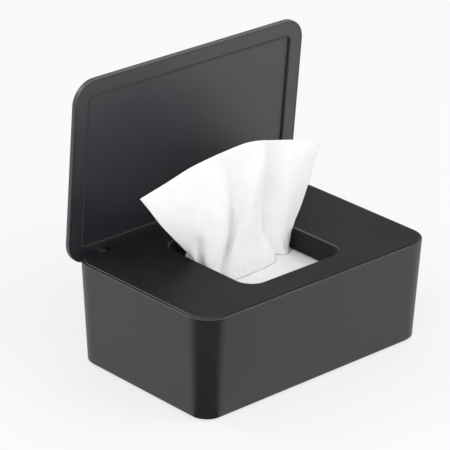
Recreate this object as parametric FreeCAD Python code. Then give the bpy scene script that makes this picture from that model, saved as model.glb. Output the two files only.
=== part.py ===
import FreeCAD, Part
import math
import os

# A countertop dispenser for folded wipes: a moulded tub, a lift-off deck with a
# rounded opening, a flat lid hinged at the back of the deck, and the wipes inside.
# Millimetres. X runs along the long front side, Y towards the back, Z up.
# The origin lies on the table, under the middle of the tub.
# The lid is modelled shut and then turned to the open pose in which it rests.

# Tub
tub_length = 185.0
tub_depth = 120.0
tub_height = 66.0
tub_draft = 3.6
tub_corner_radius = 16.0
tub_wall = 2.4
tub_floor = 2.4
tub_base_chamfer = 1.3
tub_inner_chamfer = 1.6
rim_width = 1.1
rim_chamfer = 0.35

# Feet
foot_radius = 5.0
foot_proud = 0.8
foot_recess_depth = 0.6
foot_side_clearance = 0.2
foot_inset = 17.0

# Deck
deck_plate = 2.4
deck_proud = 0.5
deck_side_gap = 0.6
deck_front_gap = 0.3
deck_edge_chamfer = 0.4
skirt_depth = 10.0
skirt_wall = 1.6
skirt_clearance = 0.4
skirt_lead_in = 0.5
grip_rib_width = 1.4
grip_rib_clearance = 0.1
grip_rib_spacing = 52.0

# Opening in the deck
opening_length = 78.0
opening_depth = 78.0
opening_corner_radius = 11.0
opening_lip_radius = 1.5
collar_wall = 1.8
collar_depth = 15.0

# Hinge
hinge_end_inset = 22.5
hinge_setback = 2.8
hinge_drop = 6.3
hinge_pin_radius = 1.0
pin_seat_clearance = 0.05
pin_run_clearance = 0.08
pin_end_clearance = 0.2
pin_chamfer = 0.2
arm_width = 6.0
arm_hub_radius = 2.7
arm_back_offset = 1.9
arm_barrel_radius = 5.3
arm_edge_chamfer = 0.9
arm_lug_clearance = 0.3
arm_slot_gap = 1.2
arm_slot_end_clearance = 0.5
arm_sweep_clearance = 0.5
lug_wall = 3.0
lug_hub_radius = 2.5
notch_clearance = 0.4
notch_corner_radius = 1.0

# Lid
lid_end_inset = 1.5
lid_front_inset = 0.7
lid_corner_radius = 15.0
lid_thickness = 3.6
lid_skin = 1.6
lid_rim_width = 1.4
lid_gap = 0.5
lid_overhang = 3.5
lid_top_edge_radius = 1.3
lid_rim_chamfer = 0.3
lid_open_angle = 85.6
liner_plate = 1.0
liner_clearance = 0.15
liner_border = 8.1
liner_step_radius = 4.5
seal_width = 1.3
seal_deck_gap = 0.15
seal_step_clearance = 0.05
seal_chamfer = 0.35

# Wipes
wipe_end_clearance = 11.6
wipe_side_clearance = 8.1
wipe_folded_thickness = 2.5
wipe_fold_chamfer = 0.8
wipe_layer_gap = 0.2
pack_top_clearance = 0.6
sheet_thickness = 1.0
sheet_foot_gap = 0.4
sheet_left_foot = 37.5
sheet_right_foot = 36.0
sheet_left_reach = 79.0
sheet_right_reach = 62.0
sheet_tip_rise = 49.0
sheet_peak_rise = 67.0
sheet_peak_offset = 2.0
sheet_setback = 11.0
sheet_fold_depth = 5.6
sheet_foot_bow = 8.0
sheet_top_bow = 7.0
sheet_fold_count = 3

# One overrun serves every cut, and heights this close count as the same
overrun = 5.0
same_height = 0.0001

# Levels and places worked out from the sizes above
base_z = foot_proud
rim_z = base_z + tub_height
floor_z = base_z + tub_floor
deck_top_z = rim_z + deck_proud
seat_z = deck_top_z - deck_plate
deck_length = tub_length - 2 * (rim_width + deck_side_gap)
deck_depth = tub_depth - 2 * (rim_width + deck_front_gap)
deck_corner_radius = tub_corner_radius - rim_width - deck_front_gap
hinge_spacing = tub_length - 2 * hinge_end_inset
axis_y = tub_depth / 2 - hinge_setback
axis_z = deck_top_z - hinge_drop
lug_inner = arm_width / 2 + arm_lug_clearance
lug_outer = lug_inner + lug_wall
slot_half = arm_width / 2 + arm_slot_gap
lid_under_z = deck_top_z + lid_gap
lid_length = tub_length - 2 * lid_end_inset
lid_back_y = axis_y + lid_overhang
lid_depth = lid_back_y + tub_depth / 2 - lid_front_inset
lid_middle_y = lid_back_y - lid_depth / 2
liner_top_z = lid_under_z + lid_thickness - lid_skin
collar_low_z = deck_top_z - collar_depth
wipe_pitch = wipe_folded_thickness + wipe_layer_gap
pack_room = collar_low_z - pack_top_clearance - floor_z
wipe_count = int((pack_room - wipe_folded_thickness) / wipe_pitch)
next_low_z = floor_z + wipe_count * wipe_pitch
next_top_z = next_low_z + wipe_folded_thickness


def point(x, y, z):
    return FreeCAD.Vector(x, y, z)


def rounded_outline(length, depth, radius, z, middle_y=0.0):
    """A rounded rectangle at height z, as one wire of four lines and four arcs."""
    half_x = length / 2
    half_y = depth / 2
    edges = []
    corners = [(1, 1, 0), (-1, 1, 90), (-1, -1, 180), (1, -1, 270)]
    ends = []
    for side_x, side_y, start in corners:
        centre_x = side_x * (half_x - radius)
        centre_y = middle_y + side_y * (half_y - radius)
        on_arc = []
        for turn in (0, 45, 90):
            angle = math.radians(start + turn)
            across = centre_x + radius * math.cos(angle)
            along = centre_y + radius * math.sin(angle)
            on_arc.append(point(across, along, z))
        ends.append(on_arc)
    for index, on_arc in enumerate(ends):
        edges.append(Part.Arc(*on_arc).toShape())
        following = ends[(index + 1) % len(ends)]
        edges.append(Part.LineSegment(on_arc[-1], following[0]).toShape())
    return Part.Wire(edges)


def rounded_block(length, depth, radius, low_z, high_z, middle_y=0.0):
    """A prism with a rounded rectangle for its plan."""
    face = Part.Face(rounded_outline(length, depth, radius, low_z, middle_y))
    return face.extrude(point(0, 0, high_z - low_z))


def tapered_block(lower, upper):
    """A straight-sided loft between two rounded rectangles."""
    return Part.makeLoft([rounded_outline(*lower), rounded_outline(*upper)], True, True)


def edges_at(shape, z):
    """The edges of a shape that lie wholly at height z."""
    found = []
    for edge in shape.Edges:
        box = edge.BoundBox
        if abs(box.ZMin - z) < same_height and abs(box.ZMax - z) < same_height:
            found.append(edge)
    return found


def edges_within(edges, half_x, half_y, middle_y=0.0):
    """Those edges that stay inside a rectangle in plan."""
    found = []
    for edge in edges:
        box = edge.BoundBox
        inside_x = box.XMin > -half_x and box.XMax < half_x
        inside_y = box.YMin > middle_y - half_y and box.YMax < middle_y + half_y
        if inside_x and inside_y:
            found.append(edge)
    return found


def tub_inset_at(z):
    """How far the tapered wall has drawn in at height z, compared with the rim."""
    return tub_draft * (rim_z - z) / tub_height


def tub_outline_at(z, inset):
    """Length, depth, corner radius and height of the tub's outer face, drawn in by inset."""
    drawn_in = tub_inset_at(z) + inset
    radius = tub_corner_radius - drawn_in
    return (tub_length - 2 * drawn_in, tub_depth - 2 * drawn_in, radius, z)


def hinge_places():
    return {"left": -hinge_spacing / 2, "right": hinge_spacing / 2}


def foot_places():
    """The middle of each foot, set in from the corners of the tub's base."""
    length, depth, _, _ = tub_outline_at(base_z, 0.0)
    across = length / 2 - foot_inset
    along = depth / 2 - foot_inset
    return {
        "front_left": (-across, -along),
        "front_right": (across, -along),
        "back_left": (-across, along),
        "back_right": (across, along),
    }


def make_tub():
    """The tapered shell, its deck seat, the two hinge notches and the foot recesses."""
    body = tapered_block(tub_outline_at(base_z, 0.0), tub_outline_at(rim_z, 0.0))
    body = body.makeChamfer(tub_base_chamfer, edges_at(body, base_z))
    body = body.makeChamfer(rim_chamfer, edges_at(body, rim_z))
    over = rim_z + overrun
    hollow = tapered_block(tub_outline_at(floor_z, tub_wall), tub_outline_at(over, tub_wall))
    hollow = hollow.makeChamfer(tub_inner_chamfer, edges_at(hollow, floor_z))
    seat_length = tub_length - 2 * rim_width
    seat_depth = tub_depth - 2 * rim_width
    seat_radius = tub_corner_radius - rim_width
    seat = rounded_block(seat_length, seat_depth, seat_radius, seat_z, over)
    body = body.cut(hollow).cut(seat)
    notch_half = lug_outer + notch_clearance
    notch_low = axis_z - arm_hub_radius - arm_sweep_clearance
    notch_front = tub_depth / 2 - tub_wall - tub_draft
    notch_reach = tub_wall + tub_draft + overrun
    for place in hinge_places().values():
        corner = point(place - notch_half, notch_front, notch_low)
        notch = Part.makeBox(2 * notch_half, notch_reach, over - notch_low, corner)
        low_edges = []
        for edge in edges_at(notch, notch_low):
            if edge.BoundBox.XLength < notch_corner_radius:
                low_edges.append(edge)
        notch = notch.makeFillet(notch_corner_radius, low_edges)
        body = body.cut(notch)
    recess_radius = foot_radius + foot_side_clearance
    for across, along in foot_places().values():
        start = point(across, along, base_z - overrun)
        recess = Part.makeCylinder(recess_radius, foot_recess_depth + overrun, start)
        body = body.cut(recess)
    return body


def make_foot(across, along):
    """A round pad, seated in its recess in the tub's base."""
    height = foot_proud + foot_recess_depth
    return Part.makeCylinder(foot_radius, height, point(across, along, 0))


def make_skirt():
    """The tapered ring under the deck that plugs into the tub, with its grip ribs."""
    low_z = seat_z - skirt_depth
    outer_inset = tub_wall + skirt_clearance
    outer = tapered_block(tub_outline_at(low_z, outer_inset), tub_outline_at(seat_z, outer_inset))
    outer = outer.makeChamfer(skirt_lead_in, edges_at(outer, low_z))
    rib_inset = tub_wall + grip_rib_clearance
    rib_limit = tapered_block(tub_outline_at(low_z, rib_inset), tub_outline_at(seat_z, rib_inset))
    for place in (-grip_rib_spacing / 2, grip_rib_spacing / 2):
        corner = point(place - grip_rib_width / 2, -tub_depth / 2, low_z + skirt_wall)
        bar = Part.makeBox(grip_rib_width, tub_depth, skirt_depth - skirt_wall, corner)
        outer = outer.fuse(bar.common(rib_limit))
        corner = point(-tub_length / 2, place - grip_rib_width / 2, low_z + skirt_wall)
        bar = Part.makeBox(tub_length, grip_rib_width, skirt_depth - skirt_wall, corner)
        outer = outer.fuse(bar.common(rib_limit))
    inner_inset = outer_inset + skirt_wall
    inner = tapered_block(
        tub_outline_at(low_z - overrun, inner_inset), tub_outline_at(seat_z + overrun, inner_inset)
    )
    return outer.cut(inner)


def make_lug(low_x):
    """A cheek under the deck with a round end about the hinge axis."""
    front = point(low_x, axis_y - lug_hub_radius, axis_z)
    back = point(low_x, axis_y + lug_hub_radius, axis_z)
    bottom = point(low_x, axis_y, axis_z - lug_hub_radius)
    top_front = point(low_x, axis_y - lug_hub_radius, seat_z)
    top_back = point(low_x, axis_y + lug_hub_radius, seat_z)
    edges = [
        Part.Arc(front, bottom, back).toShape(),
        Part.LineSegment(back, top_back).toShape(),
        Part.LineSegment(top_back, top_front).toShape(),
        Part.LineSegment(top_front, front).toShape(),
    ]
    return Part.Face(Part.Wire(edges)).extrude(point(lug_wall, 0, 0))


def make_deck():
    """The flat deck, its opening with a rolled lip and collar, the skirt and hinge cheeks."""
    plate = rounded_block(deck_length, deck_depth, deck_corner_radius, seat_z, deck_top_z)
    plate = plate.makeChamfer(deck_edge_chamfer, edges_at(plate, deck_top_z))
    collar = rounded_block(
        opening_length + 2 * collar_wall,
        opening_depth + 2 * collar_wall,
        opening_corner_radius + collar_wall,
        collar_low_z,
        seat_z,
    )
    deck = plate.fuse(collar).fuse(make_skirt())
    for place in hinge_places().values():
        deck = deck.fuse(make_lug(place - lug_outer))
        deck = deck.fuse(make_lug(place + lug_inner))
    opening = rounded_block(
        opening_length,
        opening_depth,
        opening_corner_radius,
        collar_low_z - overrun,
        deck_top_z + overrun,
    )
    deck = deck.cut(opening)
    near_half = opening_length / 2 + collar_wall
    lip = edges_within(edges_at(deck, deck_top_z), near_half, near_half)
    deck = deck.makeFillet(opening_lip_radius, lip)
    clear_depth = arm_barrel_radius + arm_slot_end_clearance
    plate_reach = math.sqrt(arm_barrel_radius**2 - (seat_z - axis_z) ** 2)
    slot_front = axis_y - plate_reach - arm_slot_end_clearance
    for place in hinge_places().values():
        corner = point(place - slot_half, slot_front, seat_z)
        slot = Part.makeBox(2 * slot_half, tub_depth / 2, deck_plate + overrun, corner)
        corner = point(place - lug_inner, axis_y - clear_depth, axis_z - skirt_depth)
        gap = Part.makeBox(2 * lug_inner, tub_depth / 2, seat_z - axis_z + skirt_depth, corner)
        bore_start = point(place - lug_outer - overrun, axis_y, axis_z)
        bore_length = 2 * (lug_outer + overrun)
        bore_radius = hinge_pin_radius + pin_seat_clearance
        bore = Part.makeCylinder(bore_radius, bore_length, bore_start, point(1, 0, 0))
        deck = deck.cut(slot).cut(gap).cut(bore)
    return deck


def make_pin(place):
    """A plain steel pin through both cheeks and the arm between them."""
    length = 2 * (lug_outer - pin_end_clearance)
    start = point(place - length / 2, axis_y, axis_z)
    pin = Part.makeCylinder(hinge_pin_radius, length, start, point(1, 0, 0))
    rims = [edge for edge in pin.Edges if edge.BoundBox.XLength < pin_chamfer]
    return pin.makeChamfer(pin_chamfer, rims)


def open_lid(shape):
    """Turns a piece of the shut lid about the hinge axis to its open rest pose."""
    turned = shape.copy()
    turned.rotate(point(0, axis_y, axis_z), point(1, 0, 0), -lid_open_angle)
    return turned


def make_lid_shell():
    """The outer skin of the lid with a rim turned towards the deck."""
    top_z = lid_under_z + lid_thickness
    size = (lid_length, lid_depth, lid_corner_radius)
    shell = rounded_block(*size, lid_under_z, top_z, lid_middle_y)
    shell = shell.makeFillet(lid_top_edge_radius, edges_at(shell, top_z))
    shell = shell.makeChamfer(lid_rim_chamfer, edges_at(shell, lid_under_z))
    pocket = rounded_block(
        lid_length - 2 * lid_rim_width,
        lid_depth - 2 * lid_rim_width,
        lid_corner_radius - lid_rim_width,
        lid_under_z - overrun,
        liner_top_z,
        lid_middle_y,
    )
    return open_lid(shell.cut(pocket))


def make_arm(place):
    """One hinge arm: a barrel about the axis, drawn up to the underside of the lid."""
    low_x = place - arm_width / 2
    lid_height = lid_under_z + liner_plate / 2
    neck_height = seat_z
    neck_front = axis_y - math.sqrt(arm_barrel_radius**2 - (neck_height - axis_z) ** 2)
    barrel_low = axis_z - arm_hub_radius / 2
    barrel_front = axis_y - math.sqrt(arm_barrel_radius**2 - (barrel_low - axis_z) ** 2)
    middle_z = (barrel_low + neck_height) / 2
    middle_front = axis_y - math.sqrt(arm_barrel_radius**2 - (middle_z - axis_z) ** 2)
    back_y = axis_y + arm_back_offset
    back_z = axis_z + math.sqrt(arm_hub_radius**2 - arm_back_offset**2)
    corners = [
        point(low_x, neck_front, lid_height),
        point(low_x, neck_front, neck_height),
        point(low_x, barrel_front, barrel_low),
        point(low_x, axis_y, axis_z - arm_hub_radius),
        point(low_x, back_y, back_z),
        point(low_x, back_y, lid_height),
    ]
    over_barrel = point(low_x, middle_front, middle_z)
    under_hub = point(low_x, axis_y + arm_hub_radius, axis_z)
    edges = [
        Part.LineSegment(corners[0], corners[1]).toShape(),
        Part.Arc(corners[1], over_barrel, corners[2]).toShape(),
        Part.LineSegment(corners[2], corners[3]).toShape(),
        Part.Arc(corners[3], under_hub, corners[4]).toShape(),
        Part.LineSegment(corners[4], corners[5]).toShape(),
        Part.LineSegment(corners[5], corners[0]).toShape(),
    ]
    arm = Part.Face(Part.Wire(edges)).extrude(point(arm_width, 0, 0))
    barrel_edges = []
    for edge in arm.Edges:
        box = edge.BoundBox
        flat_end = box.XLength < same_height
        at_neck = abs(box.ZMax - neck_height) < same_height
        on_barrel = at_neck and abs(box.ZMin - barrel_low) < same_height
        if flat_end and on_barrel:
            barrel_edges.append(edge)
    arm = arm.makeChamfer(arm_edge_chamfer, barrel_edges)
    start = point(low_x - overrun, axis_y, axis_z)
    bore_radius = hinge_pin_radius + pin_run_clearance
    bore = Part.makeCylinder(bore_radius, arm_width + 2 * overrun, start, point(1, 0, 0))
    return arm.cut(bore)


def liner_size(inset):
    """Length, depth and corner radius of the liner's plan, drawn in from the lid's edge."""
    return (lid_length - 2 * inset, lid_depth - 2 * inset, lid_corner_radius - inset)


def make_lid_liner():
    """The inner tray of the lid: a flat border, a raised step inwards and both hinge arms."""
    edge_inset = lid_rim_width + liner_clearance
    step_inset = edge_inset + liner_border
    border_size = liner_size(edge_inset)
    border_top = lid_under_z + liner_plate
    border = rounded_block(*border_size, lid_under_z, border_top, lid_middle_y)
    step_length = lid_length - 2 * step_inset
    step_depth = lid_depth - 2 * step_inset
    panel = rounded_block(
        step_length + 2 * liner_plate,
        step_depth + 2 * liner_plate,
        liner_step_radius + liner_plate,
        border_top,
        liner_top_z,
        lid_middle_y,
    )
    tray = border.fuse(panel)
    sunk = rounded_block(
        step_length,
        step_depth,
        liner_step_radius,
        lid_under_z - overrun,
        liner_top_z - liner_plate,
        lid_middle_y,
    )
    tray = tray.cut(sunk)
    for place in hinge_places().values():
        tray = tray.fuse(make_arm(place))
    return open_lid(tray.removeSplitter())


def make_lid_seal():
    """The soft ring that stands against the liner's step and meets the deck."""
    step_inset = lid_rim_width + liner_clearance + liner_border + seal_step_clearance
    outer_length = lid_length - 2 * step_inset
    outer_depth = lid_depth - 2 * step_inset
    outer_radius = liner_step_radius - seal_step_clearance
    low_z = deck_top_z + seal_deck_gap
    high_z = liner_top_z - liner_plate
    ring = rounded_block(outer_length, outer_depth, outer_radius, low_z, high_z, lid_middle_y)
    hole = rounded_block(
        outer_length - 2 * seal_width,
        outer_depth - 2 * seal_width,
        outer_radius - seal_width,
        low_z - overrun,
        high_z + overrun,
        lid_middle_y,
    )
    ring = ring.cut(hole)
    ring = ring.makeChamfer(seal_chamfer, edges_at(ring, low_z))
    return open_lid(ring)


def make_folded_wipe(low_z):
    """One wipe as it lies folded in the pack, with its two long folds eased."""
    floor_length, floor_depth, _, _ = tub_outline_at(floor_z, tub_wall)
    length = floor_length - 2 * wipe_end_clearance
    depth = floor_depth - 2 * wipe_side_clearance
    corner = point(-length / 2, -depth / 2, low_z)
    slab = Part.makeBox(length, depth, wipe_folded_thickness, corner)
    folds = [edge for edge in slab.Edges if edge.BoundBox.XLength > length - overrun]
    return slab.makeChamfer(wipe_fold_chamfer, folds)


def make_wipe_stack():
    """The pack: folded wipes that lie on the tub's floor, one on another."""
    wipes = []
    for index in range(wipe_count):
        wipes.append(make_folded_wipe(floor_z + index * wipe_pitch))
    return Part.makeCompound(wipes)


def folded_section(left, right, fold, bow, z):
    """A thin wavy strip in plan at height z: arcs to one side and back, then their offset.

    Each fold is one arc between two points on the bowed middle line. Its middle
    stands off by fold, to the front and to the back in turn.
    """
    front = []
    back = []
    span = (left + right) / sheet_fold_count
    for index in range(sheet_fold_count):
        side = -1 if index % 2 == 0 else 1
        for offset, edges in ((-sheet_thickness / 2, front), (sheet_thickness / 2, back)):
            on_arc = []
            for share in (0, 1 / 2, 1):
                across = -left + span * (index + share)
                bow_share = 1 - ((2 * across - right + left) / (left + right)) ** 2
                swell = side * fold * (1 - (2 * share - 1) ** 2)
                along = sheet_setback + offset + swell - bow * bow_share
                on_arc.append(point(across, along, z))
            edges.append(on_arc)
    edges = [Part.Arc(*on_arc).toShape() for on_arc in front]
    edges.append(Part.LineSegment(front[-1][-1], back[-1][-1]).toShape())
    for on_arc in reversed(back):
        edges.append(Part.Arc(*reversed(on_arc)).toShape())
    edges.append(Part.LineSegment(back[0][0], front[0][0]).toShape())
    return Part.Wire(edges)


def make_pulled_wipe():
    """The wipe that stands out of the opening: gathered at its foot, fanned at its top."""
    foot_z = next_top_z + sheet_foot_gap
    tip_z = deck_top_z + sheet_tip_rise
    peak_z = deck_top_z + sheet_peak_rise
    spread_z = peak_z + overrun
    grow = (spread_z - deck_top_z) / (tip_z - deck_top_z)
    left = sheet_left_foot + (sheet_left_reach - sheet_left_foot) * grow
    right = sheet_right_foot + (sheet_right_reach - sheet_right_foot) * grow
    fold = sheet_fold_depth / 2
    gathered = [
        folded_section(sheet_left_foot, sheet_right_foot, fold, sheet_foot_bow, foot_z),
        folded_section(sheet_left_foot, sheet_right_foot, fold, sheet_foot_bow, deck_top_z),
    ]
    fan = [
        folded_section(sheet_left_foot, sheet_right_foot, fold, sheet_foot_bow, deck_top_z),
        folded_section(left, right, fold / sheet_fold_count, sheet_top_bow, spread_z),
    ]
    sheet = Part.makeLoft(gathered, True, True).fuse(Part.makeLoft(fan, True, True))
    left_tip = point(-sheet_left_reach - overrun, -tub_depth / 2, tip_z)
    right_tip = point(sheet_right_reach + overrun, -tub_depth / 2, tip_z)
    left_low = point(-sheet_left_reach - overrun, -tub_depth / 2, foot_z - overrun)
    right_low = point(sheet_right_reach + overrun, -tub_depth / 2, foot_z - overrun)
    peak = point(sheet_peak_offset, -tub_depth / 2, peak_z)
    edges = [
        Part.LineSegment(left_low, left_tip).toShape(),
        Part.Arc(left_tip, peak, right_tip).toShape(),
        Part.LineSegment(right_tip, right_low).toShape(),
        Part.LineSegment(right_low, left_low).toShape(),
    ]
    outline = Part.Face(Part.Wire(edges)).extrude(point(0, tub_depth, 0))
    return sheet.common(outline)


def build():
    """Every node of the dispenser by name."""
    nodes = {
        "tub": make_tub(),
        "deck": make_deck(),
        "lid_shell": make_lid_shell(),
        "lid_liner": make_lid_liner(),
        "lid_seal": make_lid_seal(),
        "wipe_stack": make_wipe_stack(),
        "next_wipe": make_folded_wipe(next_low_z),
        "pulled_wipe": make_pulled_wipe(),
    }
    for side, place in hinge_places().items():
        nodes["hinge_pin_" + side] = make_pin(place)
    for corner, (across, along) in foot_places().items():
        nodes["foot_" + corner] = make_foot(across, along)
    return nodes


os.makedirs("parts", exist_ok=True)
for name, shape in build().items():
    shape.exportStep("parts/" + name + ".step")
    box = shape.BoundBox
    size = "{:.1f} x {:.1f} x {:.1f}".format(box.XLength, box.YLength, box.ZLength)
    print(name, len(shape.Solids), "solid", shape.isValid(), size, round(shape.Volume))
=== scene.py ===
"""Dresses the countertop wipes dispenser: satin black tub, deck and lid, and white nonwoven wipes.

Lengths are in metres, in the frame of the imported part, unless a comment says otherwise.
"""

import math

import bpy
import numpy as np
from bpy.props import FloatProperty, FloatVectorProperty, IntProperty, PointerProperty
from mathutils import Matrix, Vector


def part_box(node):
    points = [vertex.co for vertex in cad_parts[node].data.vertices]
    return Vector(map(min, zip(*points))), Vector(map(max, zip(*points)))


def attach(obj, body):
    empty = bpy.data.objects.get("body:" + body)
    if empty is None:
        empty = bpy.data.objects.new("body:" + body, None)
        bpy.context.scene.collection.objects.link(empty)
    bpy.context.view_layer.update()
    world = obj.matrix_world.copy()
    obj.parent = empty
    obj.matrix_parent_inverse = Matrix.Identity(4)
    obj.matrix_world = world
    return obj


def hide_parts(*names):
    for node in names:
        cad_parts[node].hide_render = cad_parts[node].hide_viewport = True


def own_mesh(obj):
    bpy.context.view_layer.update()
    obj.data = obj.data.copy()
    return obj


bl_info = {
    "name": "Wipes Dispenser",
    "version": (1, 0, 0),
    "blender": (4, 5, 0),
    "location": "View3D > Sidebar > Wipes Box",
    "description": "Finishes a countertop wipes dispenser and makes its folded and pulled wipes",
    "category": "Object",
}

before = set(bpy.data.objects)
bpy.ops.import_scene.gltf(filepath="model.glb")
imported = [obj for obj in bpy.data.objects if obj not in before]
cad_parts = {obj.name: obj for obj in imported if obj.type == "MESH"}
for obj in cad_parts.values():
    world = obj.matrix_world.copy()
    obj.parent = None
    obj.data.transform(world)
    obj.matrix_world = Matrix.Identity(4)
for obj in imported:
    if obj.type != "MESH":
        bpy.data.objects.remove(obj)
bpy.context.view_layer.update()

MILLIMETRE = 0.001

# The range that most values of a noise texture lie in.
NOISE_LOW = 0.3
NOISE_HIGH = 0.7

# How each plastic differs from the plain one: how many times as light its colour is painted, a painted
# shade on the tub and deck and a painted lightening on the lid for how the light falls on each, what is
# added to its roughness, how strongly it mirrors, how strongly its rounded edges are painted lighter as
# a highlight, and whether only on the edges that face along X.
PLASTICS = {
    "tub_satin": {"painted_light_factor": 0.65, "matt": 0.0, "gloss": 0.6, "painted": 0.12, "ends_only": True},
    "deck_satin": {"painted_light_factor": 0.45, "matt": 0.18, "gloss": 0.2, "painted": 1.0, "ends_only": True},
    "lid_satin": {"painted_light_factor": 1.2, "matt": 0.0, "gloss": 0.8, "painted": 0.19, "ends_only": False},
}

# How far up or down a surface's normal points, from 0 for an upright surface to 1 for a level one,
# where the painted highlight on a rounded edge starts, is full, fades and has ended.
HIGHLIGHT_LEVELS = (0.18, 0.5, 0.8, 0.97)

# Rows and columns of points in each kind of sheet.
PULLED_GRID = (215, 190)
NEXT_GRID = (120, 90)
PACKED_GRID = (60, 40)

# The pulled sheet's hidden foot: half its width, how far it reaches to front and back, the height that
# each of its layers takes up, and how far its front fold lies before the foot of the standing part.
FOOT_HALF_WIDTH = 0.0365
FOOT_REACH = 0.033
FOOT_LAYER = 0.00045
FOOT_STEP = 0.0016

# The small pleats before its back fold: where they start and are full along Y, their pitch and height.
PLEAT_START = 0.0155
PLEAT_FULL = 0.0235
PLEAT_PITCH = 0.0081
PLEAT_HEIGHT = 0.0070

# The crumple at the foot of the standing part: how far up it reaches, its pitch along X, how far it
# sways, and the height over which its crests wander. A finer ripple, with its own wander, lies over it:
# so many times as fine, and with this share of its sway.
CRUMPLE_REACH = 0.014
CRUMPLE_PITCH = 0.0052
CRUMPLE_HEIGHT = 0.00045
CRUMPLE_WANDER = 0.005
RIPPLE_WANDER = 0.004
RIPPLE_FINENESS = 1.7
RIPPLE_SHARE = 0.5

# A folded wipe: the room left above and below it in its box, and the height of its swell, with the
# angle in radians that the swell turns through in a metre along the sheet and across it.
FOLD_ROOM = 0.0001
SWELL_HEIGHT = 0.00008
SWELL_ALONG = 95.0
SWELL_ACROSS = 120.0

# The point that the lamps and the upright card face, and each lamp's place, the side of its square and
# the name of its power among the stage's sizes.
STAGE_MIDDLE = (0, 0, 0.06)
LAMPS = {
    "key_lamp": ((-1.7, -1.3, 0.80), 2.4, "key_power"),
    "fill_lamp": ((1.2, -1.6, 1.4), 2.4, "fill_power"),
    "edge_lamp": ((-0.73, 1.20, 1.20), 0.4, "edge_power"),
}

# The dark card: how high it lies over the floor, how far inside the tub's near corner its tip is, and
# the number of rays in its fan.
CARD_LIFT = 0.0003
CARD_TIP_INSET = 0.012
CARD_RAYS = 25

# The photograph's camera, fitted to the outlines of the box: the side of its picture and its focal
# length in pixels, its sensor in millimetres, its place and angles, and the nearest and farthest seen.
PHOTO_SIDE = 450
FOCAL_PIXELS = 2868.2
SENSOR_WIDTH = 36.0
CAMERA_PLACE = (-1.07388, -1.13506, 0.77674)
CAMERA_AZIMUTH = math.radians(-42.78)
CAMERA_ELEVATION = math.radians(23.99)
CAMERA_ROLL = math.radians(0.89)
NEAREST_SEEN = 0.05
FARTHEST_SEEN = 40.0

# The sheet that stands in the opening, as the lines that its folds run along, from left to right.
# Each line has its points in millimetres, from the free top edge down to the foot on the pack.
FOLD_LINES = {
    "left_edge": (
        (-79.5, 12.0, 117.0), (-72.5, 12.0, 108.0), (-64.0, 12.0, 96.5), (-54.5, 12.0, 85.5),
        (-45.0, 12.0, 75.0), (-37.6, 12.0, 66.0), (-37.0, 12.0, 53.6),
    ),
    "left_panel": (
        (-60.5, 11.0, 122.0), (-56.5, 10.0, 111.0), (-50.5, 9.0, 98.0), (-44.5, 8.5, 85.0),
        (-40.5, 9.0, 73.5), (-37.4, 9.3, 63.0), (-37.2, 9.3, 53.6),
    ),
    "small_valley": (
        (-45.0, 9.5, 127.0), (-43.0, 8.5, 115.0), (-40.5, 7.0, 100.0), (-38.0, 6.0, 85.5),
        (-33.5, 9.5, 72.0), (-30.0, 11.5, 61.0), (-30.0, 11.5, 53.6),
    ),
    "left_shoulder": (
        (-38.0, 9.0, 128.5), (-36.0, 7.5, 115.5), (-33.5, 6.0, 100.0), (-32.5, 4.5, 84.5),
        (-34.0, 4.0, 70.5), (-35.0, 3.5, 60.5), (-35.3, 3.5, 53.6),
    ),
    "left_ridge": (
        (-31.0, 8.0, 130.0), (-28.5, 6.5, 116.5), (-26.0, 4.5, 100.0), (-26.0, 2.5, 83.5),
        (-29.3, 1.5, 68.5), (-31.5, 1.7, 60.0), (-33.0, 2.0, 53.6),
    ),
    "deep_valley": (
        (-19.0, 5.0, 133.0), (-16.0, 6.0, 119.0), (-11.5, 7.5, 101.5), (-8.0, 9.5, 84.0),
        (-10.5, 9.8, 68.0), (-15.5, 8.0, 60.0), (-20.0, 4.5, 53.6),
    ),
    "middle_left": (
        (-12.0, 2.5, 135.0), (-10.0, 3.0, 120.0), (-9.3, 3.0, 102.0), (-10.0, 3.0, 84.0),
        (-14.2, 2.5, 68.0), (-18.0, 1.5, 60.0), (-20.8, -0.5, 53.8),
    ),
    "middle_ridge": (
        (-1.0, 0.5, 135.7), (3.5, -1.0, 121.0), (-1.5, -2.0, 102.5), (-3.5, -2.0, 84.5),
        (2.0, -0.5, 68.0), (4.5, -0.5, 60.0), (6.0, -1.0, 53.8),
    ),
    "right_crest": (
        (6.5, 1.5, 134.0), (8.5, 1.0, 119.5), (5.0, 1.0, 101.5), (3.0, 1.5, 83.5),
        (7.5, 3.0, 67.5), (11.5, 2.5, 60.0), (16.5, 0.5, 53.8),
    ),
    "shadow_valley": (
        (15.5, 3.5, 131.0), (17.0, 7.5, 117.0), (18.5, 11.5, 100.0), (20.5, 15.0, 83.5),
        (22.5, 15.5, 68.0), (24.0, 12.0, 60.0), (25.0, 8.5, 53.6),
    ),
    "right_panel": (
        (36.5, 6.0, 125.0), (33.0, 5.0, 112.0), (29.5, 4.5, 96.5), (28.0, 5.0, 81.0),
        (27.5, 6.5, 67.0), (28.5, 6.0, 60.0), (30.0, 4.5, 53.7),
    ),
    "right_edge": (
        (63.0, 10.0, 115.0), (59.0, 10.0, 104.0), (53.0, 9.0, 90.5), (46.0, 8.0, 77.5),
        (39.9, 7.0, 68.8), (38.3, 7.8, 62.0), (38.0, 8.6, 53.6),
    ),
}


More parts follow.
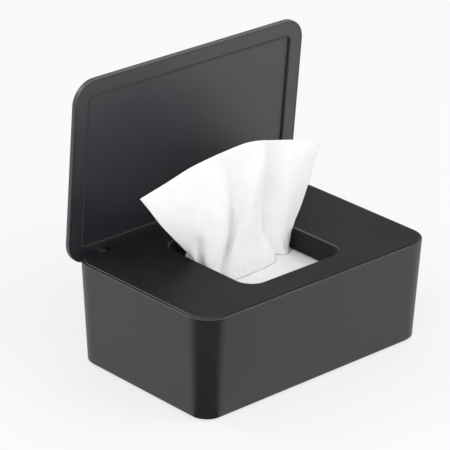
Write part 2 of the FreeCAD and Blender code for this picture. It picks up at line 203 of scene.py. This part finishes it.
class WipesBoxFinishes(bpy.types.PropertyGroup):
    """Colours and surfaces of the hard pieces."""

    plastic_colour: FloatVectorProperty(
        name="Plastic colour", description="Colour of the satin black plastic", subtype="COLOR", size=3,
        min=0.0, max=1.0, default=(0.0158, 0.0155, 0.0205))
    plastic_roughness: FloatProperty(
        name="Plastic roughness", description="How satin the moulded plastic is", subtype="FACTOR",
        min=0.0, max=1.0, default=0.42)
    # Painted highlight: the lighter colour painted on the rounded edges of the plastics.
    edge_highlight_colour: FloatVectorProperty(
        name="Edge colour", description="Colour of the rounded edges, rubbed lighter", subtype="COLOR",
        size=3, min=0.0, max=1.0, default=(0.11, 0.11, 0.113))
    edge_roughness: FloatProperty(
        name="Edge roughness", description="How satin the rubbed edges are", subtype="FACTOR",
        min=0.0, max=1.0, default=0.3)
    grain_width: FloatProperty(
        name="Grain width", description="Width of one grain of the mould's fine texture",
        unit="LENGTH", min=0.0001, default=0.0006)
    grain_height: FloatProperty(
        name="Grain height", description="Height of the mould's fine texture", unit="LENGTH",
        min=0.0, default=0.00002)
    silicone_colour: FloatVectorProperty(
        name="Silicone colour", description="Colour of the feet and the seal", subtype="COLOR", size=3,
        min=0.0, max=1.0, default=(0.02, 0.02, 0.021))
    steel_colour: FloatVectorProperty(
        name="Pin colour", description="Colour of the ground steel hinge pins", subtype="COLOR", size=3,
        min=0.0, max=1.0, default=(0.60, 0.60, 0.62))


class WipeSheetSizes(bpy.types.PropertyGroup):
    """Sizes and colour of one wipe and of the folded pack."""

    sheet_width: FloatProperty(
        name="Sheet width", description="Width of one wipe as it was cut", unit="LENGTH",
        default=0.150)
    sheet_length: FloatProperty(
        name="Sheet length", description="Length of one wipe as it was cut", unit="LENGTH",
        default=0.180)
    pulled_thickness: FloatProperty(
        name="Pulled thickness", description="Thickness of the sheet that stands in the opening",
        unit="LENGTH", default=0.0004)
    packed_thickness: FloatProperty(
        name="Packed thickness", description="Thickness of one layer in the moist pack", unit="LENGTH",
        default=0.0008)
    wipe_count: IntProperty(
        name="Wipes in the pack", description="Folded wipes below the next one", min=1, default=17)
    fabric_colour: FloatVectorProperty(
        name="Fabric colour", description="Colour of the white nonwoven", subtype="COLOR", size=3,
        min=0.0, max=1.0, default=(0.93, 0.93, 0.945))


class WipesBoxStage(bpy.types.PropertyGroup):
    """The floor, the light and the camera."""

    floor_side: FloatProperty(
        name="Floor side", description="Side of the square floor", unit="LENGTH", default=12.0)
    floor_colour: FloatVectorProperty(
        name="Floor colour", description="Colour of the pale floor", subtype="COLOR", size=3,
        min=0.0, max=1.0, default=(0.80, 0.80, 0.80))
    floor_glow: FloatProperty(
        name="Floor glow", description="Share of the floor's look that is plain white",
        subtype="FACTOR", min=0.0, max=1.0, default=0.7)
    room_light: FloatProperty(
        name="Room light", description="Strength of the even light from all round", min=0.0,
        default=0.72)
    key_power: FloatProperty(
        name="Key power", description="Power of the large soft lamp on the left", unit="POWER",
        min=0.0, default=28.0)
    fill_power: FloatProperty(
        name="Fill power", description="Power of the large soft lamp on the right", unit="POWER",
        min=0.0, default=25.0)
    edge_power: FloatProperty(
        name="Edge power", description="Power of the small lamp that lights the deck's left edge",
        unit="POWER", min=0.0, default=4.0)


# Surfaces as arrays


def through(knots, values, at, steady=False):
    """A smooth line through values that stand at knots, read at the places at.

    Between two knots it is the cubic with the slopes at both ends. The slope at a knot is the mean of
    the straight runs beside it, each weighted by the length of the other. A steady line never runs past
    its knots: the slope there is the harmonic mean of the runs, or zero where the line turns back.
    """
    step = np.diff(knots)
    shape = (-1,) + (1,) * (values.ndim - 1)
    run = np.diff(values, axis=0) / step.reshape(shape)
    slope = np.empty_like(values)
    before, after = step[:-1].reshape(shape), step[1:].reshape(shape)
    if steady:
        onward = run[:-1] * run[1:] > 0
        total = np.where(onward, run[:-1] + run[1:], 1.0)
        slope[1:-1] = np.where(onward, 2 * run[:-1] * run[1:] / total, 0.0)
    else:
        slope[1:-1] = (run[:-1] * after + run[1:] * before) / (before + after)
    slope[0], slope[-1] = run[0], run[-1]
    span = np.clip(np.searchsorted(knots, at, side="right") - 1, 0, len(step) - 1)
    t = ((at - knots[span]) / step[span]).reshape(shape)
    width = step[span].reshape(shape)
    return (
        (2 * t**3 - 3 * t**2 + 1) * values[span]
        + (t**3 - 2 * t**2 + t) * width * slope[span]
        + (3 * t**2 - 2 * t**3) * values[span + 1]
        + (t**3 - t**2) * width * slope[span + 1]
    )


def eased(value):
    """A value held between 0 and 1 and eased at both: three times its square less twice its cube."""
    share = np.clip(value, 0, 1)
    return share**2 * (3 - 2 * share)


def distances(points):
    """How far each row of points lies from the first, along the mean of its columns."""
    steps = np.linalg.norm(np.diff(points, axis=0), axis=-1)
    return np.concatenate([[0.0], np.cumsum(steps.reshape(len(steps), -1).mean(axis=1))])


def grid_mesh(name, points, flat_places):
    """A mesh of four-sided faces over a grid of points, with each point's flat place as its UV map."""
    rows, columns = points.shape[:2]
    corner = np.arange(rows * columns).reshape(rows, columns)
    quads = np.stack([corner[:-1, :-1], corner[1:, :-1], corner[1:, 1:], corner[:-1, 1:]], axis=-1)
    quads = quads.reshape(-1, 4)
    mesh = bpy.data.meshes.new(name)
    mesh.vertices.add(rows * columns)
    mesh.vertices.foreach_set("co", points.astype(np.float32).ravel())
    mesh.loops.add(quads.size)
    mesh.loops.foreach_set("vertex_index", quads.astype(np.int32).ravel())
    mesh.polygons.add(len(quads))
    mesh.polygons.foreach_set("loop_start", np.arange(0, quads.size, 4, dtype=np.int32))
    mesh.polygons.foreach_set("use_smooth", np.ones(len(quads), bool))
    places = mesh.uv_layers.new(name="cloth")
    corner_places = flat_places.reshape(-1, 2)[quads.ravel()]
    places.data.foreach_set("uv", corner_places.astype(np.float32).ravel())
    mesh.update(calc_edges=True)
    mesh.validate()
    return mesh


def cloth_piece(name, points, thickness, material, flat):
    """A sheet with its real thickness over a grid of points, which its UV map spreads evenly over the
    flat sheet, whose two sides are given.
    """
    rows, columns = points.shape[:2]
    across, along = np.meshgrid(np.linspace(0, flat[0], columns), np.linspace(0, flat[1], rows))
    mesh = grid_mesh(name, points, np.stack([across, along], axis=-1))
    mesh.materials.append(material)
    piece = bpy.data.objects.new(name, mesh)
    bpy.context.scene.collection.objects.link(piece)
    solid = piece.modifiers.new("thickness", "SOLIDIFY")
    solid.thickness = thickness
    solid.offset = 0.0
    solid.use_even_offset = False
    return piece


# Materials


class Finish:
    """A material under construction: its nodes, its links and its shader."""

    def __init__(self, name):
        self.material = bpy.data.materials.new(name)
        self.material.use_nodes = True
        self.nodes = self.material.node_tree.nodes
        self.nodes.clear()
        self.shader = self.add("ShaderNodeBsdfPrincipled")
        self.output = self.add("ShaderNodeOutputMaterial")
        self.join(self.shader.outputs["BSDF"], self.output.inputs["Surface"])

    def add(self, kind, **settings):
        """A new node of a kind, with its settings."""
        node = self.nodes.new(kind)
        for name, value in settings.items():
            setattr(node, name, value)
        return node

    def join(self, source, target):
        """Links one node's output to another's input."""
        self.material.node_tree.links.new(source, target)

    def places(self, kind="Object", grain=(1, 1, 1), turn=0.0):
        """Coordinates on the piece, on axes turned about Z, each counted in its own length of grain."""
        source = self.add("ShaderNodeTexCoord")
        mapping = self.add("ShaderNodeMapping", vector_type="TEXTURE")
        mapping.inputs["Scale"].default_value = grain
        mapping.inputs["Rotation"].default_value = (0, 0, turn)
        self.join(source.outputs[kind], mapping.inputs["Vector"])
        return mapping.outputs["Vector"]

    def noise(self, places, scale, detail):
        """The value of a noise texture at the places given."""
        texture = self.add("ShaderNodeTexNoise")
        texture.inputs["Scale"].default_value = scale
        texture.inputs["Detail"].default_value = detail
        self.join(places, texture.inputs["Vector"])
        return texture.outputs["Fac"]

    def tint(self, value, colour, share):
        """The colour, lighter and darker by a share of itself as the value of a noise goes."""
        ramp = self.add("ShaderNodeValToRGB")
        dark, light = ramp.color_ramp.elements
        dark.position = NOISE_LOW
        light.position = NOISE_HIGH
        dark.color = (*[part * (1 - share) for part in colour], 1)
        light.color = (*[min(1.0, part * (1 + share)) for part in colour], 1)
        self.join(value, ramp.inputs["Fac"])
        self.join(ramp.outputs["Color"], self.shader.inputs["Base Color"])

    def roughen(self, value, low, high):
        """A roughness that goes from low to high as the value of a noise does."""
        spread = self.add("ShaderNodeMapRange")
        spread.inputs["From Min"].default_value = NOISE_LOW
        spread.inputs["From Max"].default_value = NOISE_HIGH
        spread.inputs["To Min"].default_value = low
        spread.inputs["To Max"].default_value = high
        self.join(value, spread.inputs["Value"])
        self.join(spread.outputs["Result"], self.shader.inputs["Roughness"])

    def painted_edge_highlight(self, colour, roughness, most, ends_only):
        """Paints a highlight on rounded edges: blends the colour to the lighter one given, and the
        roughness to the one given, where the surface rounds over from upright to level: the share is a
        flat-topped hump over the height of the piece's own normal. At the ends only, it is that hump
        times how far the normal points along X, so that the painted highlight lies only on the edges
        that face along X.
        """
        source = self.add("ShaderNodeTexCoord")
        split = self.add("ShaderNodeSeparateXYZ")
        level = self.add("ShaderNodeMath", operation="ABSOLUTE")
        hump = self.add("ShaderNodeValToRGB")
        self.join(source.outputs["Normal"], split.inputs["Vector"])
        self.join(split.outputs["Z"], level.inputs[0])
        self.join(level.outputs[0], hump.inputs["Fac"])
        start, full, fading, ended = HIGHLIGHT_LEVELS
        elements = hump.color_ramp.elements
        elements[0].position = start
        elements[0].color = (0, 0, 0, 1)
        elements[1].position = ended
        elements[1].color = (0, 0, 0, 1)
        for place in (full, fading):
            elements.new(place).color = (most, most, most, 1)
        blend = hump.outputs["Color"]
        if ends_only:
            sideways = self.add("ShaderNodeMath", operation="ABSOLUTE")
            ends = self.add("ShaderNodeMath", operation="MULTIPLY")
            self.join(split.outputs["X"], sideways.inputs[0])
            self.join(sideways.outputs[0], ends.inputs[0])
            self.join(blend, ends.inputs[1])
            blend = ends.outputs[0]
        goals = (("Base Color", "RGBA", (*colour, 1)), ("Roughness", "FLOAT", roughness))
        for socket, kind, goal in goals:
            target = self.shader.inputs[socket]
            mix = self.add("ShaderNodeMix", data_type=kind)
            first, second, result = [
                next(each for each in side if each.enabled and each.name == name)
                for side, name in ((mix.inputs, "A"), (mix.inputs, "B"), (mix.outputs, "Result"))]
            self.join(blend, mix.inputs["Factor"])
            self.join(target.links[0].from_socket, first)
            second.default_value = goal
            self.join(result, target)

    def bump(self, height, distance, strength, after=None):
        """Makes the surface look raised by a height, over an earlier bump where one is given."""
        node = self.add("ShaderNodeBump")
        node.inputs["Distance"].default_value = distance
        node.inputs["Strength"].default_value = strength
        self.join(height, node.inputs["Height"])
        if after is not None:
            self.join(after, node.inputs["Normal"])
        self.join(node.outputs["Normal"], self.shader.inputs["Normal"])
        return node.outputs["Normal"]


def moulded_plastic(name, sizes):
    """Satin black plastic: a fine grain from the mould, and soft broad changes in how satin it is."""
    look = PLASTICS[name]
    finish = Finish(name)
    places = finish.places()
    grain = finish.noise(places, scale=1 / sizes.grain_width, detail=2.0)
    flow = finish.noise(places, scale=22.0, detail=4.0)
    # The plastic's colour is painted darker on the tub and deck and lighter on the lid: a painted shade
    # and a painted lightening for how light falls on each.
    finish.tint(flow, [part * look["painted_light_factor"] for part in sizes.plastic_colour], share=0.06)
    roughness = sizes.plastic_roughness + look["matt"]
    finish.roughen(flow, low=roughness - 0.03, high=roughness + 0.03)
    finish.shader.inputs["Specular IOR Level"].default_value = look["gloss"]
    # Paints a lighter highlight on the rounded edges, with a smoother roughness there.
    finish.painted_edge_highlight(sizes.edge_highlight_colour, sizes.edge_roughness, look["painted"], look["ends_only"])
    finish.bump(grain, sizes.grain_height, strength=0.6)
    return finish.material


def matt_silicone(name, sizes):
    """Matt black silicone with a dusty grain."""
    finish = Finish(name)
    dust = finish.noise(finish.places(), scale=900.0, detail=4.0)
    finish.tint(dust, sizes.silicone_colour, share=0.15)
    finish.roughen(dust, low=0.62, high=0.78)
    finish.bump(dust, distance=0.00003, strength=0.5)
    return finish.material


def ground_steel(name, sizes):
    """Steel ground round its length: fine rings, each a little rougher or smoother than the next."""
    finish = Finish(name)
    rings = finish.noise(finish.places(grain=(0.00011, 0.016, 0.016)), scale=1.0, detail=2.0)
    finish.tint(rings, sizes.steel_colour, share=0.08)
    finish.roughen(rings, low=0.22, high=0.38)
    finish.shader.inputs["Metallic"].default_value = 1.0
    finish.bump(rings, distance=0.000005, strength=0.5)
    return finish.material


def nonwoven(name, sizes):
    """White nonwoven: fibres that cross a crimped slanting grain, and soft cloudy changes in weight."""
    finish = Finish(name)
    slant = math.radians(45)
    crimp_places = finish.places("UV", grain=(0.0016, 0.0042, 1.0), turn=slant)
    fibre_places = finish.places("UV", grain=(0.0020, 0.0002, 1.0), turn=-slant)
    crimp = finish.noise(crimp_places, scale=1.0, detail=2.0)
    fibres = finish.noise(fibre_places, scale=1.0, detail=3.0)
    cloud = finish.noise(finish.places("UV"), scale=60.0, detail=5.0)
    finish.tint(cloud, sizes.fabric_colour, share=0.02)
    finish.shader.inputs["Roughness"].default_value = 0.9
    finish.shader.inputs["Specular IOR Level"].default_value = 0.2
    finish.shader.inputs["Sheen Weight"].default_value = 0.1
    finish.shader.inputs["Subsurface Weight"].default_value = 0.5
    finish.shader.inputs["Subsurface Radius"].default_value = (1.0, 1.0, 1.0)
    finish.shader.inputs["Subsurface Scale"].default_value = 0.0012
    crimped = finish.bump(crimp, distance=0.0006, strength=1.0)
    finish.bump(fibres, distance=0.00006, strength=0.5, after=crimped)
    return finish.material


def give(node_name, material):
    """Puts a material on a rigid piece of the frame."""
    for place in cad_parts[node_name].material_slots:
        place.material = material


def shared(name, maker, sizes):
    """A material by name, made the first time that it is asked for."""
    return bpy.data.materials.get(name) or maker(name, sizes)


# Shapes of the wipes


def standing_part():
    """The fold lines as an array of rows by lines by three, in metres."""
    lines = np.array(list(FOLD_LINES.values())) * MILLIMETRE
    return lines.transpose(1, 0, 2)


def hidden_part(foot, pack_top, half_width, reach, layer):
    """The rows that follow the foot: the sheet turns forward to a front fold, back under itself to a
    back fold, and forward again over the pack, spread evenly over the opening's width.
    """
    even_x = np.linspace(-half_width, half_width, len(foot))
    foot_x, foot_y = foot[:, 0], foot[:, 1]
    fold_y = foot_y - FOOT_STEP
    rounding_y = 0.7 * foot_y + 0.3 * fold_y
    half_spread_x = 0.4 * foot_x + 0.6 * even_x
    half_back_y = 0.6 * fold_y + 0.4 * reach
    lowest = pack_top + 0.6 * layer

    def row(x, y, z):
        return np.stack([x + 0 * even_x, y + 0 * even_x, z + 0 * even_x], axis=-1)

    return np.stack([
        row(foot_x, rounding_y, lowest + 2 * layer),
        row(foot_x, fold_y, lowest + 1.2 * layer),
        row(foot_x, fold_y + layer, lowest + layer),
        row(half_spread_x, half_back_y, lowest + layer),
        row(even_x, reach, lowest + layer),
        row(even_x, reach + layer, lowest + 0.5 * layer),
        row(even_x, reach, lowest),
        row(even_x, 0.0, lowest),
        row(even_x, -reach, lowest),
    ])


def crumple(x, height):
    """How far the foot of the standing part sways along Y: a sine of x, shifted by a sine of the height
    above the pack, plus a finer sine that leans as it rises, both fading out with the height.
    """
    turns = 2 * math.pi * x / CRUMPLE_PITCH
    broad = np.sin(turns + np.sin(height / CRUMPLE_WANDER))
    fine = np.sin(RIPPLE_FINENESS * turns + height / RIPPLE_WANDER)
    return CRUMPLE_HEIGHT * eased(1 - height / CRUMPLE_REACH) * (broad + RIPPLE_SHARE * fine)


def pleats(x, y):
    """How high the small pleats stand: a sine of x, shifted by one four times as broad, times an eased
    rise along Y.
    """
    turns = 2 * math.pi * x / PLEAT_PITCH
    wave = 0.5 + 0.5 * np.sin(turns + np.sin(turns / 4))
    return PLEAT_HEIGHT * eased((y - PLEAT_START) / (PLEAT_FULL - PLEAT_START)) * wave


def pulled_points(pack_top, half_width, reach, layer, rows, columns):
    """The whole pulled sheet as a grid: smooth lines down each fold, then smooth lines across them. The
    foot of the standing part is crumpled, and the part that lies hidden has small pleats.
    """
    standing = standing_part()
    hidden = hidden_part(standing[-1], pack_top, half_width, reach, layer)
    net = np.concatenate([standing, hidden])
    down, across = distances(net), distances(standing.transpose(1, 0, 2))
    path = np.linspace(0, down[-1], rows)
    tall = through(down, net, path, steady=True)
    points = through(across, tall.transpose(1, 0, 2), np.linspace(0, across[-1], columns))
    points = points.transpose(1, 0, 2)
    upright = path <= down[len(standing) - 1]
    points[upright, :, 1] += crumple(points[upright, :, 0], points[upright, :, 2] - pack_top)
    lying = path > down[len(standing)]
    points[lying, :, 2] += pleats(points[lying, :, 0], points[lying, :, 1])
    return points


def folded_points(box_low, box_high, length, thickness, side, rows, columns):
    """A wipe folded in half: a lower layer, a round fold at the side given as 1 or -1 along Y, and an
    upper layer, all inside the box. Both layers swell a little, by a sine of the length run times a
    cosine of x.
    """
    low, high = np.array(box_low), np.array(box_high)
    radius = (high[2] - low[2] - thickness) / 2 - FOLD_ROOM
    middle_z = (low[2] + high[2]) / 2
    flat_run = (length - math.pi * radius) / 2
    free_edge = high[1] - thickness / 2 - radius - flat_run
    path = np.linspace(0, length, rows)
    turn = np.clip((path - flat_run) / radius, 0, math.pi)
    beyond = np.clip(path - flat_run - math.pi * radius, 0, None)
    y = free_edge + np.minimum(path, flat_run) + radius * np.sin(turn) - beyond
    z = middle_z - radius * np.cos(turn)
    x = np.linspace(low[0], high[0], columns)
    middle_y = (low[1] + high[1]) / 2
    grid = np.empty((rows, columns, 3))
    grid[..., 0] = x[None, :]
    grid[..., 1] = (middle_y + side * (y - middle_y))[:, None]
    swell = SWELL_HEIGHT * np.outer(np.sin(path * SWELL_ALONG), np.cos(x * SWELL_ACROSS))
    grid[..., 2] = z[:, None] + swell
    return grid


# Operators, one for each piece or group of like pieces


class FinishTub(bpy.types.Operator):
    """Gives the tub its satin black moulded finish"""

    bl_idname = "wipes_box.finish_tub"
    bl_label = "Finish Tub"

    def execute(self, context):
        sizes = context.scene.wipes_box_finishes
        give("tub", shared("tub_satin", moulded_plastic, sizes))
        return {"FINISHED"}


class FinishDeck(bpy.types.Operator):
    """Gives the deck round the opening its satin black moulded finish"""

    bl_idname = "wipes_box.finish_deck"
    bl_label = "Finish Deck"

    def execute(self, context):
        sizes = context.scene.wipes_box_finishes
        give("deck", shared("deck_satin", moulded_plastic, sizes))
        return {"FINISHED"}


class FinishLid(bpy.types.Operator):
    """Gives the lid's shell and liner their satin finish, and the seal its silicone"""

    bl_idname = "wipes_box.finish_lid"
    bl_label = "Finish Lid"

    def execute(self, context):
        sizes = context.scene.wipes_box_finishes
        for part in ("lid_shell", "lid_liner"):
            give(part, shared("lid_satin", moulded_plastic, sizes))
        give("lid_seal", shared("matt_silicone", matt_silicone, sizes))
        return {"FINISHED"}


class FinishHingePins(bpy.types.Operator):
    """Gives both hinge pins their ground steel"""

    bl_idname = "wipes_box.finish_hinge_pins"
    bl_label = "Finish Hinge Pins"

    def execute(self, context):
        for part in ("hinge_pin_left", "hinge_pin_right"):
            give(part, shared("ground_steel", ground_steel, context.scene.wipes_box_finishes))
        return {"FINISHED"}


class FinishFeet(bpy.types.Operator):
    """Gives the four feet their matt silicone"""

    bl_idname = "wipes_box.finish_feet"
    bl_label = "Finish Feet"

    def execute(self, context):
        for part in ("foot_front_left", "foot_front_right", "foot_back_left", "foot_back_right"):
            give(part, shared("matt_silicone", matt_silicone, context.scene.wipes_box_finishes))
        return {"FINISHED"}


class MakePulledWipe(bpy.types.Operator):
    """Makes the sheet that stands out of the opening, with its folds and its hidden foot"""

    bl_idname = "wipes_box.make_pulled_wipe"
    bl_label = "Make Pulled Wipe"

    def execute(self, context):
        sizes = context.scene.wipe_sheet_sizes
        flat = (sizes.sheet_width, sizes.sheet_length)
        pack_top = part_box("next_wipe")[1].z
        points = pulled_points(pack_top, FOOT_HALF_WIDTH, FOOT_REACH, FOOT_LAYER, *PULLED_GRID)
        fabric = shared("nonwoven", nonwoven, sizes)
        sheet = cloth_piece("pulled_sheet", points, sizes.pulled_thickness, fabric, flat)
        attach(sheet, "wipe")
        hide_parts("pulled_wipe")
        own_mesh(sheet)
        return {"FINISHED"}


class MakeNextWipe(bpy.types.Operator):
    """Makes the folded wipe on top of the pack"""

    bl_idname = "wipes_box.make_next_wipe"
    bl_label = "Make Next Wipe"

    def execute(self, context):
        sizes = context.scene.wipe_sheet_sizes
        flat = (sizes.sheet_width, sizes.sheet_length)
        low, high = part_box("next_wipe")
        points = folded_points(low, high, sizes.sheet_length, sizes.packed_thickness, 1, *NEXT_GRID)
        fabric = shared("nonwoven", nonwoven, sizes)
        sheet = cloth_piece("next_sheet", points, sizes.packed_thickness, fabric, flat)
        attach(sheet, "tub")
        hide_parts("next_wipe")
        return {"FINISHED"}


class MakeWipeStack(bpy.types.Operator):
    """Makes the pack of folded wipes below the next one, their folds to front and back in turn"""

    bl_idname = "wipes_box.make_wipe_stack"
    bl_label = "Make Wipe Stack"

    def execute(self, context):
        sizes = context.scene.wipe_sheet_sizes
        flat = (sizes.sheet_width, sizes.sheet_length)
        low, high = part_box("wipe_stack")
        next_low, next_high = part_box("next_wipe")
        fabric = shared("nonwoven", nonwoven, sizes)
        height = next_high.z - next_low.z
        pitch = (next_low.z - low.z) / sizes.wipe_count
        for number in range(sizes.wipe_count):
            bottom = low.z + number * pitch
            box_low = (low.x, low.y, bottom)
            box_high = (high.x, high.y, bottom + height)
            side = -1 if number % 2 else 1
            points = folded_points(
                box_low, box_high, sizes.sheet_length, sizes.packed_thickness, side, *PACKED_GRID)
            name = f"packed_sheet_{number + 1:02d}"
            sheet = cloth_piece(name, points, sizes.packed_thickness, fabric, flat)
            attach(sheet, "tub")
            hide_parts("wipe_stack")
        return {"FINISHED"}


# The stage


class MakeStage(bpy.types.Operator):
    """Makes the pale floor, the soft light and the camera"""

    bl_idname = "wipes_box.make_stage"
    bl_label = "Make Stage"

    def execute(self, context):
        sizes = context.scene.wipes_box_stage
        make_floor(sizes)
        make_light(sizes)
        make_camera(context)
        context.scene.view_settings.view_transform = "Standard"
        return {"FINISHED"}


def seen_or_reflected(tree):
    """1 for a ray that shows a surface to the camera, straight or by way of metal or glass, else 0."""
    path = tree.nodes.new("ShaderNodeLightPath")
    shown = path.outputs["Is Camera Ray"]
    for name in ("Is Glossy Ray", "Is Transmission Ray"):
        either = tree.nodes.new("ShaderNodeMath")
        either.operation = "MAXIMUM"
        tree.links.new(shown, either.inputs[0])
        tree.links.new(path.outputs[name], either.inputs[1])
        shown = either.outputs[0]
    return shown


def make_floor(sizes):
    """A flat square floor that the feet stand on, white where it is seen, but for a light shadow."""
    finish = Finish("pale_floor")
    glow = finish.add("ShaderNodeEmission")
    mix = finish.add("ShaderNodeMixShader")
    share = finish.add("ShaderNodeMath", operation="MULTIPLY")
    share.inputs[1].default_value = sizes.floor_glow
    finish.join(seen_or_reflected(finish.material.node_tree), share.inputs[0])
    finish.join(share.outputs[0], mix.inputs["Fac"])
    finish.join(finish.shader.outputs["BSDF"], mix.inputs[1])
    finish.join(glow.outputs["Emission"], mix.inputs[2])
    finish.join(mix.outputs["Shader"], finish.output.inputs["Surface"])
    cloud = finish.noise(finish.places(), scale=3.0, detail=4.0)
    finish.tint(cloud, sizes.floor_colour, share=0.003)
    finish.shader.inputs["Roughness"].default_value = 0.9
    finish.shader.inputs["Specular IOR Level"].default_value = 0.1
    half = sizes.floor_side / 2
    x, y = np.meshgrid([-half, 0, half], [half, 0, -half])
    points = np.stack([x, y, 0 * x], axis=-1)
    mesh = grid_mesh("floor", points, points[..., :2] / sizes.floor_side)
    mesh.materials.append(finish.material)
    floor = bpy.data.objects.new("floor", mesh)
    bpy.context.scene.collection.objects.link(floor)


def soft_lamp(name, place, aim, side, power):
    """A square lamp at a place, facing the point aim."""
    data = bpy.data.lights.new(name, "AREA")
    data.shape = "SQUARE"
    data.size = side
    data.energy = power
    lamp = bpy.data.objects.new(name, data)
    lamp.location = place
    lamp.rotation_euler = (Vector(aim) - Vector(place)).to_track_quat("-Z", "Y").to_euler()
    bpy.context.scene.collection.objects.link(lamp)


def make_card(name, points, grey):
    """A card over a grid of points, dark or pale as its grey says, that only reflections show."""
    finish = Finish(name)
    finish.shader.inputs["Base Color"].default_value = (grey, grey, grey, 1)
    finish.shader.inputs["Roughness"].default_value = 1.0
    mesh = grid_mesh(name, points, points[..., :2])
    mesh.materials.append(finish.material)
    card = bpy.data.objects.new(name, mesh)
    bpy.context.scene.collection.objects.link(card)
    card.visible_camera = card.visible_diffuse = card.visible_shadow = False


def upright_card(name, place, aim, width, height, grey):
    """A card facing the point aim: its middle plus shares of its two sides."""
    facing = (Vector(aim) - Vector(place)).normalized()
    side = facing.cross(Vector((0, 0, 1))).normalized()
    upright = side.cross(facing)
    across, tall = np.meshgrid([-width / 2, width / 2], [height / 2, -height / 2])
    points = np.array(place) + across[..., None] * np.array(side) + tall[..., None] * np.array(upright)
    make_card(name, points, grey)


def floor_card(name, tip, near, far, toward, spread, grey):
    """A card that lies on the floor as a fan from its tip: the distance along each ray times the ray's
    cosine and sine, for angles within spread of the angle toward.
    """
    rays = np.linspace(toward + spread, toward - spread, CARD_RAYS)
    angles, reach = np.meshgrid(rays, [near, far])
    x = tip[0] + reach * np.cos(angles)
    y = tip[1] + reach * np.sin(angles)
    make_card(name, np.stack([x, y, np.full_like(x, CARD_LIFT)], axis=-1), grey)


def make_light(sizes):
    """Even light from all round, white where it is seen, three soft lamps, and two cards for the
    reflections: a dark one on the floor at the tub's near corner, and a pale one behind the box.
    """
    world = bpy.data.worlds.new("studio")
    world.use_nodes = True
    bpy.context.scene.world = world
    nodes, links = world.node_tree.nodes, world.node_tree.links
    nodes.clear()
    strength = nodes.new("ShaderNodeMapRange")
    strength.inputs["To Min"].default_value = sizes.room_light
    strength.inputs["To Max"].default_value = 1.0
    links.new(seen_or_reflected(world.node_tree), strength.inputs["Value"])
    background = nodes.new("ShaderNodeBackground")
    background.inputs["Color"].default_value = (1, 1, 1, 1)
    links.new(strength.outputs["Result"], background.inputs["Strength"])
    output = nodes.new("ShaderNodeOutputWorld")
    links.new(background.outputs["Background"], output.inputs["Surface"])
    for name, (place, side, power) in LAMPS.items():
        soft_lamp(name, place, STAGE_MIDDLE, side, getattr(sizes, power))
    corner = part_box("tub")[0]
    floor_card(
        "corner_card", tip=(corner.x + CARD_TIP_INSET, corner.y + CARD_TIP_INSET), near=0.004, far=1.2,
        toward=math.radians(226.6), spread=math.radians(63), grey=0.005)
    upright_card(
        "back_card", place=(1.1, 1.2, 1.05), aim=STAGE_MIDDLE, width=2.2, height=1.5, grey=0.85)


def make_camera(context):
    """The photograph's camera: its place, the way it looks, its slight tilt and its long lens."""
    back = Vector((
        math.sin(CAMERA_AZIMUTH) * math.cos(CAMERA_ELEVATION),
        -math.cos(CAMERA_AZIMUTH) * math.cos(CAMERA_ELEVATION),
        math.sin(CAMERA_ELEVATION)))
    level = Vector((math.cos(CAMERA_AZIMUTH), math.sin(CAMERA_AZIMUTH), 0))
    upright = back.cross(level)
    right = math.cos(CAMERA_ROLL) * level + math.sin(CAMERA_ROLL) * upright
    up = math.cos(CAMERA_ROLL) * upright - math.sin(CAMERA_ROLL) * level
    data = bpy.data.cameras.new("camera")
    data.sensor_width = SENSOR_WIDTH
    data.lens = FOCAL_PIXELS / PHOTO_SIDE * SENSOR_WIDTH
    data.clip_start = NEAREST_SEEN
    data.clip_end = FARTHEST_SEEN
    camera = bpy.data.objects.new("camera", data)
    turn = Matrix((right, up, back)).transposed().to_4x4()
    camera.matrix_world = Matrix.Translation(CAMERA_PLACE) @ turn
    context.scene.collection.objects.link(camera)
    context.scene.camera = camera


# The panel, and the classes as they are registered


OPERATORS = (
    FinishTub, FinishDeck, FinishLid, FinishHingePins, FinishFeet,
    MakeNextWipe, MakeWipeStack, MakePulledWipe, MakeStage,
)


class WipesBoxPanel(bpy.types.Panel):
    """Lists the steps that finish the dispenser, with their sizes and colours"""

    bl_idname = "VIEW3D_PT_wipes_box"
    bl_label = "Wipes Box"
    bl_space_type = "VIEW_3D"
    bl_region_type = "UI"
    bl_category = "Wipes Box"

    def draw(self, context):
        for operator in OPERATORS:
            self.layout.operator(operator.bl_idname)
        for group in (
            context.scene.wipes_box_finishes,
            context.scene.wipe_sheet_sizes,
            context.scene.wipes_box_stage,
        ):
            box = self.layout.box()
            for name in group.__annotations__:
                box.prop(group, name)


CLASSES = (WipesBoxFinishes, WipeSheetSizes, WipesBoxStage, *OPERATORS, WipesBoxPanel)


def register():
    for each in CLASSES:
        bpy.utils.register_class(each)
    bpy.types.Scene.wipes_box_finishes = PointerProperty(type=WipesBoxFinishes)
    bpy.types.Scene.wipe_sheet_sizes = PointerProperty(type=WipeSheetSizes)
    bpy.types.Scene.wipes_box_stage = PointerProperty(type=WipesBoxStage)


def unregister():
    del bpy.types.Scene.wipes_box_stage
    del bpy.types.Scene.wipe_sheet_sizes
    del bpy.types.Scene.wipes_box_finishes
    for each in reversed(CLASSES):
        bpy.utils.unregister_class(each)


def main():
    """Finishes every piece."""
    register()
    bpy.ops.wipes_box.finish_tub()
    bpy.ops.wipes_box.finish_deck()
    bpy.ops.wipes_box.finish_lid()
    bpy.ops.wipes_box.finish_hinge_pins()
    bpy.ops.wipes_box.finish_feet()
    bpy.ops.wipes_box.make_next_wipe()
    bpy.ops.wipes_box.make_wipe_stack()
    bpy.ops.wipes_box.make_pulled_wipe()
    bpy.ops.wipes_box.make_stage()


if __name__ == "__main__":
    main()
